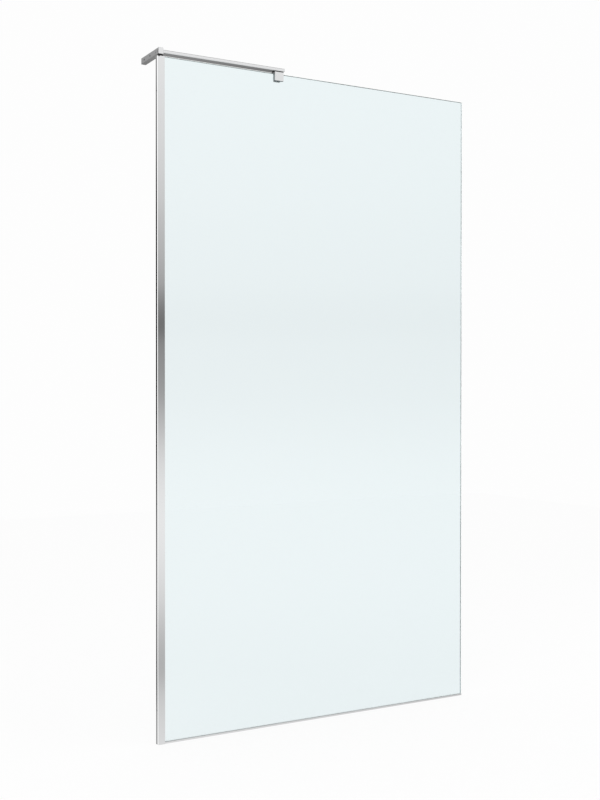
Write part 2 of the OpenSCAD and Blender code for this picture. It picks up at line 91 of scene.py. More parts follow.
camera_data = bpy.data.cameras.new("camera")
camera_data.lens = CAMERA_LENS_MM
camera_data.sensor_fit = "VERTICAL"
camera_data.sensor_height = SENSOR_MM
camera = bpy.data.objects.new("camera", camera_data)
camera.matrix_world = aim(CAMERA_AT, CAMERA_YAW, CAMERA_PITCH, CAMERA_ROLL)
bpy.context.scene.collection.objects.link(camera)
bpy.context.scene.camera = camera
bpy.context.scene.view_settings.view_transform = "Standard"
print("camera at", [round(v, 3) for v in CAMERA_AT])

# %% [markdown]
# ## The studio
#
# Chrome has no colour of its own. It shows the room, so the room is part of the finish. The screen in the
# photograph stands in front of pure white, but its chrome shows a bright studio with a dim back and a soft
# dark band at eye height. The world does both: straight rays, and rays that pass through the glass, see the
# white backdrop, and rays that bounce off metal see the studio. The tones of the studio are two colour
# ramps by height, one for the front and one for the back. A softbox stands between them on the left. It is
# placed by its bearing, the angle round the vertical from east, and the channel's curved corner shows it as
# a thin bright line. The dark ceiling draws the grey line along the upper edges of the arm and the leg.

# %% The world
BACKDROP = 0.985
FRONT_STUDIO = [(-0.30, 0.88), (-0.255, 0.70), (-0.23, 0.54), (-0.18, 0.80), (-0.11, 0.98), (-0.05, 0.76),
                (-0.01, 0.46), (0.04, 0.30), (0.06, 0.21), (0.09, 0.44), (0.16, 0.71), (0.28, 0.95),
                (0.50, 1.0)]
BACK_STUDIO = [(-0.30, 0.32), (-0.268, 0.24), (-0.25, 0.07), (-0.21, 0.12), (-0.17, 0.19), (-0.11, 0.15),
               (-0.05, 0.05), (0.0, 0.01), (0.10, 0.01), (0.16, 0.05), (0.20, 0.17), (0.24, 0.27),
               (0.30, 0.40), (0.50, 0.22)]
BACK_STARTS = (0.68, 0.82)
SOFTBOX_TONE = 1.4
SOFTBOX_BEARING = 2.40
SOFTBOX_SPREAD = (0.29, 0.21)
CEILING_TONE = 0.12
CEILING_STARTS = (0.5, 0.66)
AMBIENT = 0.75


def node_adder(tree):
    """A short way to add a node: add(type, settings) returns the node."""
    def add(kind, **settings):
        made = tree.nodes.new(kind)
        for key, value in settings.items():
            setattr(made, key, value)
        return made
    return add


def tone_ramp(tree, add, stops, height):
    """A ColorRamp of grey tones. Height runs from -0.5 to 0.5, and the ramp's own factor from 0 to 1."""
    lift = add("ShaderNodeMath", operation="ADD", use_clamp=True)
    lift.inputs[1].default_value = 0.5
    ramp = add("ShaderNodeValToRGB")
    ramp.color_ramp.interpolation = "CARDINAL"
    tree.links.new(height, lift.inputs[0])
    tree.links.new(lift.outputs[0], ramp.inputs[0])
    points = ramp.color_ramp.elements
    points[0].position = stops[0][0] + 0.5
    points[-1].position = stops[-1][0] + 0.5
    for where, _ in stops[1:-1]:
        points.new(where + 0.5)
    for point, (_, tone) in zip(points, stops):
        point.color = (tone, tone, tone, 1)
    return ramp.outputs["Color"]


def smooth_step(tree, add, value, low, high):
    """Rises smoothly from 0 at low to 1 at high."""
    step = add("ShaderNodeMapRange", interpolation_type="SMOOTHSTEP")
    step.inputs["From Min"].default_value = low
    step.inputs["From Max"].default_value = high
    tree.links.new(value, step.inputs["Value"])
    return step.outputs["Result"]


def mix_colors(tree, add, factor, first, second):
    """Mixes two colours. Each of them is a socket or a grey tone."""
    mix = add("ShaderNodeMix", data_type="RGBA")
    tree.links.new(factor, mix.inputs[0])
    for socket, given in ((mix.inputs[6], first), (mix.inputs[7], second)):
        if isinstance(given, float):
            socket.default_value = (given, given, given, 1)
        else:
            tree.links.new(given, socket)
    return mix.outputs[2]


def make_world():
    """White for straight and refracted rays, and the studio for rays that a mirror has turned."""
    world = bpy.data.worlds.new("studio")
    world.use_nodes = True
    bpy.context.scene.world = world
    tree = world.node_tree
    tree.nodes.clear()
    add = node_adder(tree)
    direction = add("ShaderNodeTexCoord").outputs["Generated"]
    parts = add("ShaderNodeSeparateXYZ")
    tree.links.new(direction, parts.inputs[0])
    east, north, height = parts.outputs
    front = tone_ramp(tree, add, FRONT_STUDIO, height)
    back = tone_ramp(tree, add, BACK_STUDIO, height)
    bearing = add("ShaderNodeMath", operation="ARCTAN2")
    tree.links.new(north, bearing.inputs[0])
    tree.links.new(east, bearing.inputs[1])
    behind = smooth_step(tree, add, north, *BACK_STARTS)
    walls = mix_colors(tree, add, behind, front, back)
    from_softbox = add("ShaderNodeMath", operation="SUBTRACT")
    from_softbox.inputs[1].default_value = SOFTBOX_BEARING
    tree.links.new(bearing.outputs[0], from_softbox.inputs[0])
    aside = add("ShaderNodeMath", operation="ABSOLUTE")
    tree.links.new(from_softbox.outputs[0], aside.inputs[0])
    softbox = smooth_step(tree, add, aside.outputs[0], *SOFTBOX_SPREAD)
    lit_walls = mix_colors(tree, add, softbox, walls, SOFTBOX_TONE)
    above = smooth_step(tree, add, height, *CEILING_STARTS)
    studio = mix_colors(tree, add, above, lit_walls, CEILING_TONE)
    path = add("ShaderNodeLightPath")
    turned = add("ShaderNodeMath", operation="GREATER_THAN")
    turned.inputs[1].default_value = 0.5
    tree.links.new(path.outputs["Glossy Depth"], turned.inputs[0])
    seen = mix_colors(tree, add, turned.outputs[0], BACKDROP, studio)
    lit = mix_colors(tree, add, path.outputs["Is Diffuse Ray"], seen, AMBIENT)
    background = add("ShaderNodeBackground")
    tree.links.new(lit, background.inputs["Color"])
    output = add("ShaderNodeOutputWorld")
    tree.links.new(background.outputs[0], output.inputs["Surface"])


make_world()

# %% [markdown]
# ## Floor and lamps
#
# The floor only has to be pale and to take a faint shadow under the rail. A little diffuse white in plain
# emission keeps it as white as the backdrop, so no horizon shows. The chrome gets its floor from the studio
# ramps, so the floor doesn't show in glossy rays. Two large lamps light the plastic and rubber pieces
# softly.

# %% The floor
FLOOR_HALF = 6.0
FLOOR_DROP = 0.05 * MM
FLOOR_TONE = 1.0
FLOOR_WHITE = 0.95
SHADOW_SHARE = 0.09


def make_floor():
    """A square a hair below the screen's foot."""
    half = FLOOR_HALF
    corners = [(-half, -half, -FLOOR_DROP), (half, -half, -FLOOR_DROP),
               (half, half, -FLOOR_DROP), (-half, half, -FLOOR_DROP)]
    mesh = bpy.data.meshes.new("floor")
    mesh.from_pydata(corners, [], [(0, 1, 2, 3)])
    floor = bpy.data.objects.new("floor", mesh)
    bpy.context.scene.collection.objects.link(floor)
    floor.visible_glossy = False
    material = bpy.data.materials.new("pale_floor")
    material.use_nodes = True
    tree = material.node_tree
    tree.nodes.clear()
    add = node_adder(tree)
    diffuse = add("ShaderNodeBsdfDiffuse")
    diffuse.inputs["Color"].default_value = (FLOOR_WHITE, FLOOR_WHITE, FLOOR_WHITE, 1)
    white = add("ShaderNodeEmission")
    white.inputs["Color"].default_value = (FLOOR_TONE, FLOOR_TONE, FLOOR_TONE, 1)
    blend = add("ShaderNodeMixShader")
    blend.inputs[0].default_value = SHADOW_SHARE
    output = add("ShaderNodeOutputMaterial")
    tree.links.new(white.outputs[0], blend.inputs[1])
    tree.links.new(diffuse.outputs[0], blend.inputs[2])
    tree.links.new(blend.outputs[0], output.inputs["Surface"])
    mesh.materials.append(material)


def make_lamp(name, at, target, size, power):
    """A square soft lamp that faces a target. It doesn't show in the chrome, which has the studio."""
    data = bpy.data.lights.new(name, "AREA")
    data.size = size
    data.energy = power
    lamp = bpy.data.objects.new(name, data)
    lamp.location = at
    lamp.rotation_euler = (Vector(target) - Vector(at)).to_track_quat("-Z", "Y").to_euler()
    lamp.visible_glossy = False
    lamp.visible_transmission = False
    lamp.visible_camera = False
    bpy.context.scene.collection.objects.link(lamp)


make_floor()
make_lamp("key_lamp", (-2.2, -2.6, 2.8), (0.4, 0, 1.2), 2.0, 36)
make_lamp("fill_lamp", (2.8, -1.8, 2.2), (0.5, 0, 1.0), 2.4, 18)

# %% [markdown]
# ## Surfaces from arrays
#
# Nearly every piece is an extrusion or a turned part, as it is in the workshop. So two helpers make nearly
# all shapes. One carries a flat outline along a straight path and rounds off both ends a little. The other
# turns a profile round an axis. Both are a grid of points over two parameters, worked out as whole arrays.

# %% Outlines
ARC_STEPS = 7
SAME_POINT = 1e-7


def outline(corners, radii):
    """Closed outline through corners in counter-clockwise order, each rounded to its own radius.

    The arc's centre lies on the corner's bisector, at radius / sin(half angle) from the corner, and the arc
    runs between the two points where it touches the sides.
    """
    points = np.array(corners, float)
    radii = np.broadcast_to(np.array(radii, float), len(points))
    before = np.roll(points, 1, axis=0) - points
    after = np.roll(points, -1, axis=0) - points
    before /= np.linalg.norm(before, axis=1, keepdims=True)
    after /= np.linalg.norm(after, axis=1, keepdims=True)
    half = np.arccos(np.clip((before * after).sum(1), -1, 1)) / 2
    bisector = before + after
    bisector /= np.linalg.norm(bisector, axis=1, keepdims=True)
    centre = points + bisector * (radii / np.sin(half))[:, None]
    reach = (radii / np.tan(half))[:, None]
    first = points + before * reach - centre
    last = points + after * reach - centre
    start = np.arctan2(first[:, 1], first[:, 0])
    sweep = np.arctan2(last[:, 1], last[:, 0]) - start
    sweep = (sweep + math.pi) % TURN - math.pi
    share = np.linspace(0, 1, ARC_STEPS)
    angle = start[:, None] + sweep[:, None] * share
    ring = centre[:, None] + radii[:, None, None] * np.stack([np.cos(angle), np.sin(angle)], axis=2)
    return np.where((radii > 0)[:, None, None], ring, points[:, None]).reshape(-1, 2)


def rectangle(low, high, radius):
    """Rounded rectangle from its low corner to its high corner."""
    corners = [(low[0], low[1]), (high[0], low[1]), (high[0], high[1]), (low[0], high[1])]
    return outline(corners, radius)


def without_repeats(ring):
    """Drops each point that lies on the one before it."""
    step = np.linalg.norm(ring - np.roll(ring, 1, axis=0), axis=1)
    return ring[step > SAME_POINT]


# %% [markdown]
# A real edge is never razor sharp, and the small radius is what catches the light. To round the end of an
# extrusion, the outline shrinks along its own outward directions in the last fraction of a millimetre. Each
# direction is the mitre of the two sides that meet there. The sawn end of an extrusion keeps the smallest
# edge, vinyl and small blocks have a little more, and moulded plugs and pads the most.

# %% Extrusions
END_STEPS = 4
SAWN_EDGE = 0.12 * MM
SMALL_EDGE = 0.15 * MM
MOULDED_EDGE = 0.3 * MM


def outward(ring):
    """Mitred outward direction at each point of a counter-clockwise outline."""
    side = np.roll(ring, -1, axis=0) - ring
    side /= np.linalg.norm(side, axis=1, keepdims=True)
    normal = np.stack([side[:, 1], -side[:, 0]], axis=1)
    previous = np.roll(normal, 1, axis=0)
    return (normal + previous) / (1 + (normal * previous).sum(1, keepdims=True))


def in_space(flat, along, axis):
    """Places outline coordinates and a distance along axis ("x", "y" or "z") in the row frame.

    The outline's two coordinates are (y, z) for x, (z, x) for y, and (x, y) for z.
    """
    order = {"x": (2, 0, 1), "y": (1, 2, 0), "z": (0, 1, 2)}[axis]
    return np.concatenate([flat, along], axis=-1)[..., order]


def grid_faces(rows, columns):
    """Quads of a grid of points whose columns close on themselves."""
    index = np.arange(rows * columns).reshape(rows, columns)
    right = np.roll(index, -1, axis=1)
    return np.stack([index[:-1], right[:-1], right[1:], index[1:]], axis=-1).reshape(-1, 4).tolist()


def carry(ring, start, end, edge, axis, chamfer=False):
    """Carries an outline along an axis from start to end, with both ends rounded or chamfered by edge.

    At an angle a from 0 to a quarter turn, the ring lies edge * (1 - cos a) in from the end and is shrunk by
    edge * (1 - sin a). A chamfer has the two ends of that quarter turn alone.
    """
    ring = without_repeats(ring)
    angle = np.linspace(0, math.pi / 2, 2 if chamfer else END_STEPS)
    depth = edge * (1 - np.cos(angle))
    inset = edge * (1 - np.sin(angle))
    along = np.concatenate([start + depth, end - depth[::-1]])
    inset = np.concatenate([inset, inset[::-1]])
    flat = ring[None] - inset[:, None, None] * outward(ring)[None]
    station = np.broadcast_to(along[:, None, None], flat.shape[:2] + (1,))
    points = in_space(flat, station, axis)
    rows, columns = points.shape[:2]
    first = list(range(columns))[::-1]
    last = list(range((rows - 1) * columns, rows * columns))
    return points.reshape(-1, 3), grid_faces(rows, columns) + [first, last]


def slab(low, high, radius, edge, axis):
    """A block with rounded edges: a rounded rectangle carried along one axis."""
    plane = {"x": (1, 2), "y": (2, 0), "z": (0, 1)}[axis]
    line = "xyz".index(axis)
    ring = rectangle([low[i] for i in plane], [high[i] for i in plane], radius)
    return carry(ring, low[line], high[line], edge, axis)


# %% [markdown]
# ## Turned parts
#
# Screws, caps and plugs come off a lathe. Each is a column of radii at given heights, turned round an axis.
# A hexagonal socket is the same surface: its rings are hexagons in place of circles. In the direction
# theta, a hexagon lies at its inner radius / cos(theta mod 60 degrees - 30 degrees). A thread is a radius
# that rises and falls with the height and with the angle, so that its crest climbs one pitch in each turn.

# %% Turned surfaces
SIDES = 48
THETA = np.arange(SIDES) * TURN / SIDES
HEXAGON = 1 / np.cos(THETA % (TURN / 6) - TURN / 12)
ROWS_PER_PITCH = 6
THREAD_DEPTH = 0.3


def rings(stations):
    """Radii and heights from (height, radius, shape) rows; shape is 0 for a circle and 1 for a hexagon."""
    height, radius, shape = np.array(stations, float).T
    return height, radius[:, None] * (1 - shape[:, None] + shape[:, None] * HEXAGON[None])


def thread_rows(low, high, radius, pitch, depth):
    """A thread between two heights: the crest climbs one pitch per turn and fades out at both ends."""
    height = np.linspace(low, high, int((high - low) / pitch * ROWS_PER_PITCH) + 2)
    phase = (height[:, None] / pitch - THETA[None] / TURN) % 1
    wave = np.abs(2 * phase - 1)
    fade = np.clip((height - low) / pitch, 0, 1) * np.clip((high - height) / pitch, 0, 1)
    return height, radius - depth * wave * fade[:, None]


def turned(height, radius, origin, axis):
    """Surface of a turned part: one ring for each height, round a signed axis through origin."""
    along = np.array(axis, float)
    across = np.roll(np.abs(along), 1)
    other = np.cross(along, across)
    flat = radius[..., None] * (np.cos(THETA)[None, :, None] * across + np.sin(THETA)[None, :, None] * other)
    points = np.array(origin, float) + flat + height[:, None, None] * along
    return points.reshape(-1, 3), grid_faces(*radius.shape)


def screw(length, head, shank, head_height, cone, socket, pitch):
    """Heights and radii of a socket screw, from its tip at 0 up to its head.

    With cone, the head tapers from the shank, as on a countersunk screw, and otherwise it is a cylinder.
    The socket is its width across flats and its depth, and a drill point lies below it.
    """
    tip = 0.4 * MM
    rim = 0.25 * MM
    run_in = 0.05 * MM
    plain = 0.3 * MM
    across, deep = socket
    drill_point = 0.2 * across
    neck = length - head_height
    low = rings([(0, 0, 0), (0, shank - tip, 0), (tip, shank, 0)])
    middle = thread_rows(tip + run_in, neck - plain, shank, pitch, THREAD_DEPTH * pitch)
    under = [(neck, shank, 0)]
    if not cone:
        under += [(neck, head - rim, 0), (neck + rim / 2, head, 0)]
    high = rings([*under, (length - rim, head, 0), (length, head - rim, 0),
                  (length, across / 2 + rim / 2, 1), (length - rim / 2, across / 2, 1),
                  (length - deep, across / 2, 1), (length - deep - drill_point, 0, 0)])
    return [np.concatenate(parts) for parts in zip(low, middle, high)]


# %% [markdown]
# ## From arrays to pieces
#
# A piece may hold several shapes, such as three screws. Doubles are merged, which also closes the poles of
# turned parts. Faces are smooth except across a crease, and the normals are weighted by area, so that a
# large flat face stays perfectly flat in its reflection beside its small rounded edge.

# %% Making a piece
CREASE = math.radians(35)
FLAT_FACES_FIRST = 80
WELD = 1e-6
made_pieces = []


def finish_mesh(mesh, material):
    """Smooth shading with creases, and one material."""
    mesh.polygons.foreach_set("use_smooth", np.ones(len(mesh.polygons), bool))
    mesh.set_sharp_from_angle(angle=CREASE)
    mesh.materials.clear()
    mesh.materials.append(material)
    mesh.update()


def register(obj, body, nodes):
    """Adds the weighted normals and tells the frame what the piece rides on and stands for."""
    weighted = obj.modifiers.new("flat_faces", "WEIGHTED_NORMAL")
    weighted.keep_sharp = True
    weighted.weight = FLAT_FACES_FIRST
    bpy.context.scene.collection.objects.link(obj)
    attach(obj, body)
    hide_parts(*nodes)
    made_pieces.append(obj)
    return obj


def piece(name, shapes, body, material, nodes):
    """One object from a list of (points, faces) shapes."""
    starts = np.cumsum([0] + [len(points) for points, _ in shapes[:-1]])
    points = np.concatenate([points for points, _ in shapes])
    faces = [[int(start + i) for i in face] for start, (_, own) in zip(starts, shapes) for face in own]
    if not np.isfinite(points).all():
        raise ValueError(f"{name} has a point that isn't a number")
    mesh = bpy.data.meshes.new(name)
    mesh.from_pydata(points.tolist(), [], faces)
    work = bmesh.new()
    work.from_mesh(mesh)
    bmesh.ops.remove_doubles(work, verts=work.verts, dist=WELD)
    bmesh.ops.dissolve_degenerate(work, edges=work.edges, dist=SAME_POINT)
    work.to_mesh(mesh)
    work.free()
    finish_mesh(mesh, material)
    print(name, len(mesh.vertices), "points")
    return register(bpy.data.objects.new(name, mesh), body, nodes)


# %% [markdown]
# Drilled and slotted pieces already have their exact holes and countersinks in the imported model. For those,
# a copy of the node is merged and its flat faces are joined up, and a bevel breaks the sharp edges as
# tumbling or polishing does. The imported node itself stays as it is.

# %% Dressing a drilled piece
FLAT = math.radians(0.5)
MERGE = 0.015 * MM
BEVEL_STEPS = 2
BEVEL_FROM = math.radians(40)


def dressed(node, name, body, material, edge, reshape=None):
    """A copy of a CAD node with its triangles merged into flat faces and its edges broken by a bevel.

    Points closer than MERGE become one. That also takes away the hair-thin ring at the mouth of a
    countersink, which would otherwise hold every bevel of the piece down to its own width. A reshape turns
    the array of points into a new one.
    """
    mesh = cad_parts[node].data.copy()
    mesh.name = name
    if reshape:
        points = np.empty(3 * len(mesh.vertices))
        mesh.vertices.foreach_get("co", points)
        mesh.vertices.foreach_set("co", reshape(points.reshape(-1, 3)).ravel())
    if "custom_normal" in mesh.attributes:
        mesh.attributes.remove(mesh.attributes["custom_normal"])
    work = bmesh.new()
    work.from_mesh(mesh)
    bmesh.ops.remove_doubles(work, verts=work.verts, dist=MERGE)
    bmesh.ops.dissolve_limit(work, angle_limit=FLAT, verts=work.verts, edges=work.edges)
    work.to_mesh(mesh)
    work.free()
    finish_mesh(mesh, material)
    obj = bpy.data.objects.new(name, mesh)
    bevel = obj.modifiers.new("broken_edges", "BEVEL")
    bevel.width = edge
    bevel.segments = BEVEL_STEPS
    bevel.limit_method = "ANGLE"
    bevel.angle_limit = BEVEL_FROM
    print(name, len(mesh.vertices), "points before its bevel")
    return register(obj, body, [node])


def box_of(node):
    """Lowest and highest corner of a node, as arrays."""
    low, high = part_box(node)
    return np.array(low), np.array(high)


def boxes_along(node, axis):
    """Boxes of a node's separate solids, which lie one after the other along an axis.

    Each triangle covers a stretch of the axis. In order of their starts, a new solid begins where a triangle
    starts past the furthest end so far.
    """
    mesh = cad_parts[node].data
    mesh.calc_loop_triangles()
    points = np.array([vertex.co for vertex in mesh.vertices])
    corners = points[np.array([triangle.vertices for triangle in mesh.loop_triangles])]
    corners = corners[np.argsort(corners[:, :, axis].min(1))]
    reach = np.maximum.accumulate(corners[:, :, axis].max(1))
    breaks = np.nonzero(corners[1:, :, axis].min(1) > reach[:-1] + TOUCH)[0] + 1
    return [(group.min((0, 1)), group.max((0, 1))) for group in np.split(corners, breaks)]


# %% [markdown]
# ## Fine detail for the finishes
#
# Two effects come back in several finishes, so each is a node group. Drawn lines are the faint marks that
# an extrusion die or a polishing belt leaves along a profile: noise that is stretched about a hundred times
# along one axis. Without the stretch, the same noise is the even grain of a moulded plastic. Handling marks
# are the large, soft patches where polish and water leave the surface a little less bright. A group gives
# out plain values, and the shader itself stays in each material.

# %% Shared groups
PATCH_MIDDLE = 0.55


def new_group(name, inputs, outputs):
    """An empty shader group with named float inputs and outputs, and its input and output nodes."""
    group = bpy.data.node_groups.new(name, "ShaderNodeTree")
    for label, kind, default in inputs:
        socket = group.interface.new_socket(name=label, in_out="INPUT", socket_type=kind)
        socket.default_value = default
    for label in outputs:
        group.interface.new_socket(name=label, in_out="OUTPUT", socket_type="NodeSocketFloat")
    return group, group.nodes.new("NodeGroupInput"), group.nodes.new("NodeGroupOutput")


def make_drawn_lines():
    """Noise on Object coordinates, scaled on each axis by Stretch, so that it runs in lines."""
    inputs = [("Stretch", "NodeSocketVector", (1, 1, 0.01)), ("Scale", "NodeSocketFloat", 900.0)]
    group, given, result = new_group("drawn_lines", inputs, ["Lines"])
    add = node_adder(group)
    place = add("ShaderNodeTexCoord")
    scaled = add("ShaderNodeVectorMath", operation="MULTIPLY")
    noise = add("ShaderNodeTexNoise")
    noise.inputs["Detail"].default_value = 3
    noise.inputs["Roughness"].default_value = 0.6
    group.links.new(place.outputs["Object"], scaled.inputs[0])
    group.links.new(given.outputs["Stretch"], scaled.inputs[1])
    group.links.new(scaled.outputs[0], noise.inputs["Vector"])
    group.links.new(given.outputs["Scale"], noise.inputs["Scale"])
    group.links.new(noise.outputs[0], result.inputs["Lines"])
    return group


def make_soft_patches():
    """Low, broad noise pushed towards its ends: a mask of patches between 0 and 1."""
    inputs = [("Scale", "NodeSocketFloat", 14.0), ("Edge", "NodeSocketFloat", 0.15)]
    group, given, result = new_group("soft_patches", inputs, ["Mask"])
    add = node_adder(group)
    place = add("ShaderNodeTexCoord")
    noise = add("ShaderNodeTexNoise")
    noise.inputs["Detail"].default_value = 4
    step = add("ShaderNodeMapRange", interpolation_type="SMOOTHSTEP")
    low = add("ShaderNodeMath", operation="SUBTRACT")
    high = add("ShaderNodeMath", operation="ADD")
    low.inputs[0].default_value = PATCH_MIDDLE
    high.inputs[0].default_value = PATCH_MIDDLE
    group.links.new(place.outputs["Object"], noise.inputs["Vector"])
    group.links.new(given.outputs["Scale"], noise.inputs["Scale"])
    group.links.new(given.outputs["Edge"], low.inputs[1])
    group.links.new(given.outputs["Edge"], high.inputs[1])
    group.links.new(noise.outputs[0], step.inputs["Value"])
    group.links.new(low.outputs[0], step.inputs["From Min"])
    group.links.new(high.outputs[0], step.inputs["From Max"])
    group.links.new(step.outputs["Result"], result.inputs["Mask"])
    return group


DRAWN_LINES = make_drawn_lines()
SOFT_PATCHES = make_soft_patches()

# %% [markdown]
# ## Metal finishes
#
# Bright chrome is a mirror with almost no roughness. What makes it metal and not a flat grey is that the
# mirror is never quite perfect, so faint drawn lines tilt its normals and soft patches lift its roughness.
# The lines run along each extrusion, so there is one chrome for each direction. Satin aluminium and
# stainless steel are the same recipe with more roughness and stronger lines.

# %% Metals
METAL_PATCHES = 14
CHROME_TONE = (0.80, 0.805, 0.81)
LINE_STRETCH = 0.008


def new_finish(name, roughness, patch_scale):
    """A material whose roughness goes from the first value to the second in soft patches."""
    material = bpy.data.materials.new(name)
    material.use_nodes = True
    tree = material.node_tree
    add = node_adder(tree)
    shader = tree.nodes["Principled BSDF"]
    patches = add("ShaderNodeGroup", node_tree=SOFT_PATCHES)
    patches.inputs["Scale"].default_value = patch_scale
    range_of = add("ShaderNodeMapRange")
    range_of.inputs["To Min"].default_value = roughness[0]
    range_of.inputs["To Max"].default_value = roughness[1]
    tree.links.new(patches.outputs["Mask"], range_of.inputs["Value"])
    tree.links.new(range_of.outputs["Result"], shader.inputs["Roughness"])
    return material, add, shader, patches.outputs["Mask"]


def tilt_surface(tree, add, shader, stretch, scale, depth, strength):
    """Tilts the normals by drawn lines, or by an even grain where the stretch is the same on all axes."""
    lines = add("ShaderNodeGroup", node_tree=DRAWN_LINES)
    lines.inputs["Stretch"].default_value = stretch
    lines.inputs["Scale"].default_value = scale
    bump = add("ShaderNodeBump")
    bump.inputs["Distance"].default_value = depth
    bump.inputs["Strength"].default_value = strength
    tree.links.new(lines.outputs["Lines"], bump.inputs["Height"])
    tree.links.new(bump.outputs["Normal"], shader.inputs["Normal"])


def metal(name, color, roughness, stretch, line_scale, line_depth, line_strength):
    """A metal with drawn lines in its normals and soft patches in its roughness."""
    material, add, shader, _ = new_finish(name, roughness, METAL_PATCHES)
    shader.inputs["Metallic"].default_value = 1
    shader.inputs["Base Color"].default_value = (*color, 1)
    tilt_surface(material.node_tree, add, shader, stretch, line_scale, line_depth, line_strength)
    return material


def chrome(name, stretch):
    """Bright chrome whose polishing lines run along the axis with the small stretch."""
    return metal(name, CHROME_TONE, (0.03, 0.055), stretch,
                 line_scale=700, line_depth=0.002 * MM, line_strength=0.25)


CHROME_UP = chrome("chrome_channel", (1, 1, LINE_STRETCH))
CHROME_ALONG = chrome("chrome_bar", (LINE_STRETCH, 1, 1))
CHROME_BACK = chrome("chrome_leg", (1, LINE_STRETCH, 1))
CHROME_CAST = chrome("chrome_fitting", (0.4, 0.4, 0.4))
SATIN = metal("satin_aluminium", (0.62, 0.63, 0.64), (0.3, 0.36), (1, 1, LINE_STRETCH),
              line_scale=1200, line_depth=0.01 * MM, line_strength=0.5)
STEEL = metal("stainless_steel", (0.55, 0.55, 0.56), (0.24, 0.32), (0.3, 0.3, 0.3),
              line_scale=1500, line_depth=0.006 * MM, line_strength=0.4)

# %% [markdown]
# ## Plastics, rubber and vinyl
#
# The small soft pieces are seen only as dark or milky lines, but they have a grain too: moulded nylon and
# plastic are slightly pebbled, rubber is dull, and the clear vinyl of the gaskets lets some light through.

# %% Plastics
PLASTIC_PATCHES = 60
PLASTIC_IOR = 1.5
WORN_SHARE = 0.86
WORN_ROUGHNESS = 0.12
GRAIN_STRENGTH = 0.6


def plastic(name, color, roughness, grain_scale, grain_depth, see_through=0.0):
    """A moulded or extruded plastic with a fine grain, and with soft patches in its tone and roughness."""
    material, add, shader, mask = new_finish(name, (roughness, roughness + WORN_ROUGHNESS), PLASTIC_PATCHES)
    tree = material.node_tree
    shader.inputs["Transmission Weight"].default_value = see_through
    shader.inputs["IOR"].default_value = PLASTIC_IOR
    tint = add("ShaderNodeMix", data_type="RGBA")
    tint.inputs[6].default_value = (*color, 1)
    tint.inputs[7].default_value = (*[WORN_SHARE * part for part in color], 1)
    tree.links.new(mask, tint.inputs[0])
    tree.links.new(tint.outputs[2], shader.inputs["Base Color"])
    tilt_surface(tree, add, shader, (1, 1, 1), grain_scale, grain_depth, GRAIN_STRENGTH)
    return material


# Black plastic for the foot plug. On the top pad this black is painted shade: it stands in for the shadow in
# the gap under the leg.
BLACK_PLASTIC_AND_SHADE = plastic("black_plastic", (0.006, 0.006, 0.007), 0.4, 1500, 0.02 * MM)
# Painted shade: this black stands in for the shadow in the gap between the clamp and the arm.
SHADE_BLACK_RUBBER = plastic("black_rubber", (0.005, 0.005, 0.005), 0.6, 900, 0.03 * MM)
NYLON = plastic("white_nylon", (0.82, 0.82, 0.8), 0.42, 1300, 0.02 * MM)
CLEAR_VINYL = plastic("clear_vinyl", (0.78, 0.84, 0.86), 0.18, 600, 0.01 * MM, see_through=0.6)
GREY_VINYL = plastic("grey_vinyl", (0.60, 0.63, 0.64), 0.35, 600, 0.01 * MM, see_through=0.1)

# %% [markdown]
# ## Glass
#
# Clear glass isn't tinted at its surface. Its faint blue-green comes from the iron in it, so light loses a
# little red for every millimetre that it travels. Through the sheet that is barely seen, and along an edge
# it is strong. So the shader is colourless, and a volume takes out the red. One tone of the absorption
# colour says what share of that light passes, and density says how fast the rest is lost. The edges are
# ground before they are polished, so they stay a little cloudy and show as a grey-green line.

# %% The glass finish
GLASS_PATCHES = 5
GLASS_IOR = 1.51
GLASS_TINT = (0.0, 0.52, 0.61)
GLASS_DENSITY = 17.6


def glass(name, surface, see_through, roughness):
    """Clear glass: a smooth surface over a volume that takes out red first and then some green."""
    material, add, shader, _ = new_finish(name, roughness, GLASS_PATCHES)
    tree = material.node_tree
    shader.inputs["Base Color"].default_value = (*surface, 1)
    shader.inputs["Transmission Weight"].default_value = see_through
    shader.inputs["IOR"].default_value = GLASS_IOR
    volume = add("ShaderNodeVolumeAbsorption")
    volume.inputs["Color"].default_value = (*GLASS_TINT, 1)
    volume.inputs["Density"].default_value = GLASS_DENSITY
    tree.links.new(volume.outputs[0], tree.nodes["Material Output"].inputs["Volume"])
    return material


CLEAR_GLASS = glass("clear_glass", (1, 1, 1), 1, (0.0, 0.004))
EDGE_GLASS = glass("glass_edges", (0.5, 0.58, 0.56), 0.6, (0.12, 0.3))

# %% [markdown]
# ## The sheet of glass
#
# Toughened glass has polished edges: a flat face with a narrow bevel, the arris, on both sides. The two
# corners at the free edge are rounded to a small radius, and the two beside the wall stay square. So the
# sheet is a rounded outline carried through its thickness, with chamfered ends. Each face whose normal
# leans away from the front and the back gets the cloudy finish of the edges. The edge in the channel stays
# a hair short, so that it doesn't touch the foot plug when the panel is pushed right in.

# %% The glass sheet
GLASS_CORNER_R = 4 * MM
ARRIS = 0.8 * MM
FACES_FRONT = 0.9

glass_low, glass_high = box_of("glass_panel")
wall_edge = glass_low[0] + TOUCH
sheet_corners = [(glass_low[2], wall_edge), (glass_high[2], wall_edge),
                 (glass_high[2], glass_high[0]), (glass_low[2], glass_high[0])]
sheet_ring = outline(sheet_corners, [ARRIS, ARRIS, GLASS_CORNER_R, GLASS_CORNER_R])
sheet_shape = carry(sheet_ring, glass_low[1], glass_high[1], ARRIS, "y", chamfer=True)
glass_sheet = piece("glass_sheet", [sheet_shape], PANEL, CLEAR_GLASS, ["glass_panel"])
glass_sheet.data.materials.append(EDGE_GLASS)
facing = np.empty(3 * len(glass_sheet.data.polygons))
glass_sheet.data.polygons.foreach_get("normal", facing)
ground = np.abs(facing.reshape(-1, 3)[:, 1]) < FACES_FRONT
glass_sheet.data.polygons.foreach_set("material_index", ground.astype(int))
print("ground faces", int(ground.sum()), "of", len(ground))

